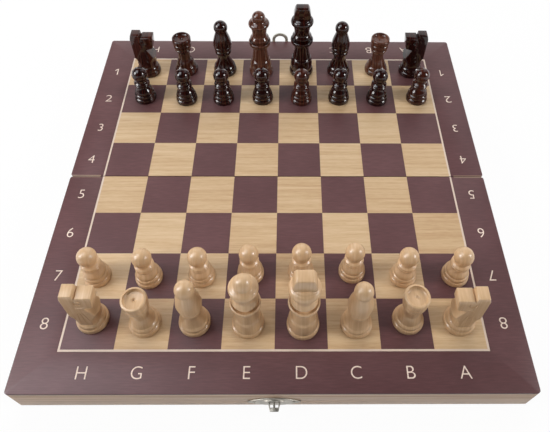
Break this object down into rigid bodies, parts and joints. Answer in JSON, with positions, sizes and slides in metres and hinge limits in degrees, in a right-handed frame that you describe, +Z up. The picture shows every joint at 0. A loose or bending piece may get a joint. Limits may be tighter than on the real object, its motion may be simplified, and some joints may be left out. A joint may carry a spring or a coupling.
{
  "type": "chess and backgammon board",
  "caption": "Wooden folding board, chess on the outside and backgammon points inside, lying open with its turned chess men set up and a ring latch to keep it shut.",
  "frame": {"origin": "under the middle of the open board, on the fold line, at the foot of the hinge knuckles", "axes": "+Z up out of the playing face, +X to the right along the fold, -Y to the front edge with the hook plate"},
  "size_m": [0.388, 0.3995, 0.115],
  "materials": {
    "dark_veneer": "satin lacquer",
    "pale_veneer": "satin lacquer",
    "pale_wood": "satin lacquer",
    "dark_men": "gloss lacquer",
    "pale_men": "gloss lacquer",
    "nickel": "nickel plated"
  },
  "bodies": {
    "front_half": {"front_panel": "pale_wood", "front_outer_rail": "pale_wood", "front_spine_rail": "pale_wood", "front_left_rail": "pale_wood", "front_right_rail": "pale_wood", "front_border_veneer": "dark_veneer", "front_dark_inlay": "dark_veneer", "front_pale_inlay": "pale_veneer", "front_points": "dark_veneer", "front_nails": "nickel", "front_hinge_leaves": "nickel", "hinge_pins": "nickel", "hook_plate": "nickel"},
    "back_half": {"back_panel": "pale_wood", "back_outer_rail": "pale_wood", "back_spine_rail": "pale_wood", "back_left_rail": "pale_wood", "back_right_rail": "pale_wood", "back_border_veneer": "dark_veneer", "back_dark_inlay": "dark_veneer", "back_pale_inlay": "pale_veneer", "back_points": "dark_veneer", "back_nails": "nickel", "back_hinge_leaves": "nickel", "ring_plate": "nickel", "ring_pin": "nickel"},
    "catch_ring": {"catch_ring": "nickel"},
    "pale_knight_h": {"pale_knight_h": "pale_men"},
    "pale_rook_g": {"pale_rook_g": "pale_men"},
    "pale_bishop_f": {"pale_bishop_f": "pale_men"},
    "pale_queen": {"pale_queen": "pale_men"},
    "pale_king": {"pale_king": "pale_men"},
    "pale_bishop_c": {"pale_bishop_c": "pale_men"},
    "pale_rook_b": {"pale_rook_b": "pale_men"},
    "pale_knight_a": {"pale_knight_a": "pale_men"},
    "pale_pawn_h": {"pale_pawn_h": "pale_men"},
    "pale_pawn_g": {"pale_pawn_g": "pale_men"},
    "pale_pawn_f": {"pale_pawn_f": "pale_men"},
    "pale_pawn_e": {"pale_pawn_e": "pale_men"},
    "pale_pawn_d": {"pale_pawn_d": "pale_men"},
    "pale_pawn_c": {"pale_pawn_c": "pale_men"},
    "pale_pawn_b": {"pale_pawn_b": "pale_men"},
    "pale_pawn_a": {"pale_pawn_a": "pale_men"},
    "dark_knight_h": {"dark_knight_h": "dark_men"},
    "dark_rook_g": {"dark_rook_g": "dark_men"},
    "dark_bishop_f": {"dark_bishop_f": "dark_men"},
    "dark_queen": {"dark_queen": "dark_men"},
    "dark_king": {"dark_king": "dark_men"},
    "dark_bishop_c": {"dark_bishop_c": "dark_men"},
    "dark_rook_b": {"dark_rook_b": "dark_men"},
    "dark_knight_a": {"dark_knight_a": "dark_men"},
    "dark_pawn_h": {"dark_pawn_h": "dark_men"},
    "dark_pawn_g": {"dark_pawn_g": "dark_men"},
    "dark_pawn_f": {"dark_pawn_f": "dark_men"},
    "dark_pawn_e": {"dark_pawn_e": "dark_men"},
    "dark_pawn_d": {"dark_pawn_d": "dark_men"},
    "dark_pawn_c": {"dark_pawn_c": "dark_men"},
    "dark_pawn_b": {"dark_pawn_b": "dark_men"},
    "dark_pawn_a": {"dark_pawn_a": "dark_men"}
  },
  "joints": [
    {"name": "board_fold", "type": "hinge", "parent": "front_half", "child": "back_half", "pos_m": [0, 0, 0.00125], "axis": [-1, 0, 0], "range_deg": [0, 180]},
    {"name": "catch_ring_swing", "type": "hinge", "parent": "back_half", "child": "catch_ring", "pos_m": [0, 0.1966, 0.012], "axis": [-1, 0, 0], "range_deg": [0, 180]},
    {"name": "lift_pale_knight_h", "type": "slide", "parent": "front_half", "child": "pale_knight_h", "axis": [0, 0, 1], "range_m": [0, 0.09]},
    {"name": "lift_pale_rook_g", "type": "slide", "parent": "front_half", "child": "pale_rook_g", "axis": [0, 0, 1], "range_m": [0, 0.09]},
    {"name": "lift_pale_bishop_f", "type": "slide", "parent": "front_half", "child": "pale_bishop_f", "axis": [0, 0, 1], "range_m": [0, 0.09]},
    {"name": "lift_pale_queen", "type": "slide", "parent": "front_half", "child": "pale_queen", "axis": [0, 0, 1], "range_m": [0, 0.09]},
    {"name": "lift_pale_king", "type": "slide", "parent": "front_half", "child": "pale_king", "axis": [0, 0, 1], "range_m": [0, 0.09]},
    {"name": "lift_pale_bishop_c", "type": "slide", "parent": "front_half", "child": "pale_bishop_c", "axis": [0, 0, 1], "range_m": [0, 0.09]},
    {"name": "lift_pale_rook_b", "type": "slide", "parent": "front_half", "child": "pale_rook_b", "axis": [0, 0, 1], "range_m": [0, 0.09]},
    {"name": "lift_pale_knight_a", "type": "slide", "parent": "front_half", "child": "pale_knight_a", "axis": [0, 0, 1], "range_m": [0, 0.09]},
    {"name": "lift_pale_pawn_h", "type": "slide", "parent": "front_half", "child": "pale_pawn_h", "axis": [0, 0, 1], "range_m": [0, 0.09]},
    {"name": "lift_pale_pawn_g", "type": "slide", "parent": "front_half", "child": "pale_pawn_g", "axis": [0, 0, 1], "range_m": [0, 0.09]},
    {"name": "lift_pale_pawn_f", "type": "slide", "parent": "front_half", "child": "pale_pawn_f", "axis": [0, 0, 1], "range_m": [0, 0.09]},
    {"name": "lift_pale_pawn_e", "type": "slide", "parent": "front_half", "child": "pale_pawn_e", "axis": [0, 0, 1], "range_m": [0, 0.09]},
    {"name": "lift_pale_pawn_d", "type": "slide", "parent": "front_half", "child": "pale_pawn_d", "axis": [0, 0, 1], "range_m": [0, 0.09]},
    {"name": "lift_pale_pawn_c", "type": "slide", "parent": "front_half", "child": "pale_pawn_c", "axis": [0, 0, 1], "range_m": [0, 0.09]},
    {"name": "lift_pale_pawn_b", "type": "slide", "parent": "front_half", "child": "pale_pawn_b", "axis": [0, 0, 1], "range_m": [0, 0.09]},
    {"name": "lift_pale_pawn_a", "type": "slide", "parent": "front_half", "child": "pale_pawn_a", "axis": [0, 0, 1], "range_m": [0, 0.09]},
    {"name": "lift_dark_knight_h", "type": "slide", "parent": "back_half", "child": "dark_knight_h", "axis": [0, 0, 1], "range_m": [0, 0.09]},
    {"name": "lift_dark_rook_g", "type": "slide", "parent": "back_half", "child": "dark_rook_g", "axis": [0, 0, 1], "range_m": [0, 0.09]},
    {"name": "lift_dark_bishop_f", "type": "slide", "parent": "back_half", "child": "dark_bishop_f", "axis": [0, 0, 1], "range_m": [0, 0.09]},
    {"name": "lift_dark_queen", "type": "slide", "parent": "back_half", "child": "dark_queen", "axis": [0, 0, 1], "range_m": [0, 0.09]},
    {"name": "lift_dark_king", "type": "slide", "parent": "back_half", "child": "dark_king", "axis": [0, 0, 1], "range_m": [0, 0.09]},
    {"name": "lift_dark_bishop_c", "type": "slide", "parent": "back_half", "child": "dark_bishop_c", "axis": [0, 0, 1], "range_m": [0, 0.09]},
    {"name": "lift_dark_rook_b", "type": "slide", "parent": "back_half", "child": "dark_rook_b", "axis": [0, 0, 1], "range_m": [0, 0.09]},
    {"name": "lift_dark_knight_a", "type": "slide", "parent": "back_half", "child": "dark_knight_a", "axis": [0, 0, 1], "range_m": [0, 0.09]},
    {"name": "lift_dark_pawn_h", "type": "slide", "parent": "back_half", "child": "dark_pawn_h", "axis": [0, 0, 1], "range_m": [0, 0.09]},
    {"name": "lift_dark_pawn_g", "type": "slide", "parent": "back_half", "child": "dark_pawn_g", "axis": [0, 0, 1], "range_m": [0, 0.09]},
    {"name": "lift_dark_pawn_f", "type": "slide", "parent": "back_half", "child": "dark_pawn_f", "axis": [0, 0, 1], "range_m": [0, 0.09]},
    {"name": "lift_dark_pawn_e", "type": "slide", "parent": "back_half", "child": "dark_pawn_e", "axis": [0, 0, 1], "range_m": [0, 0.09]},
    {"name": "lift_dark_pawn_d", "type": "slide", "parent": "back_half", "child": "dark_pawn_d", "axis": [0, 0, 1], "range_m": [0, 0.09]},
    {"name": "lift_dark_pawn_c", "type": "slide", "parent": "back_half", "child": "dark_pawn_c", "axis": [0, 0, 1], "range_m": [0, 0.09]},
    {"name": "lift_dark_pawn_b", "type": "slide", "parent": "back_half", "child": "dark_pawn_b", "axis": [0, 0, 1], "range_m": [0, 0.09]},
    {"name": "lift_dark_pawn_a", "type": "slide", "parent": "back_half", "child": "dark_pawn_a", "axis": [0, 0, 1], "range_m": [0, 0.09]}
  ]
}
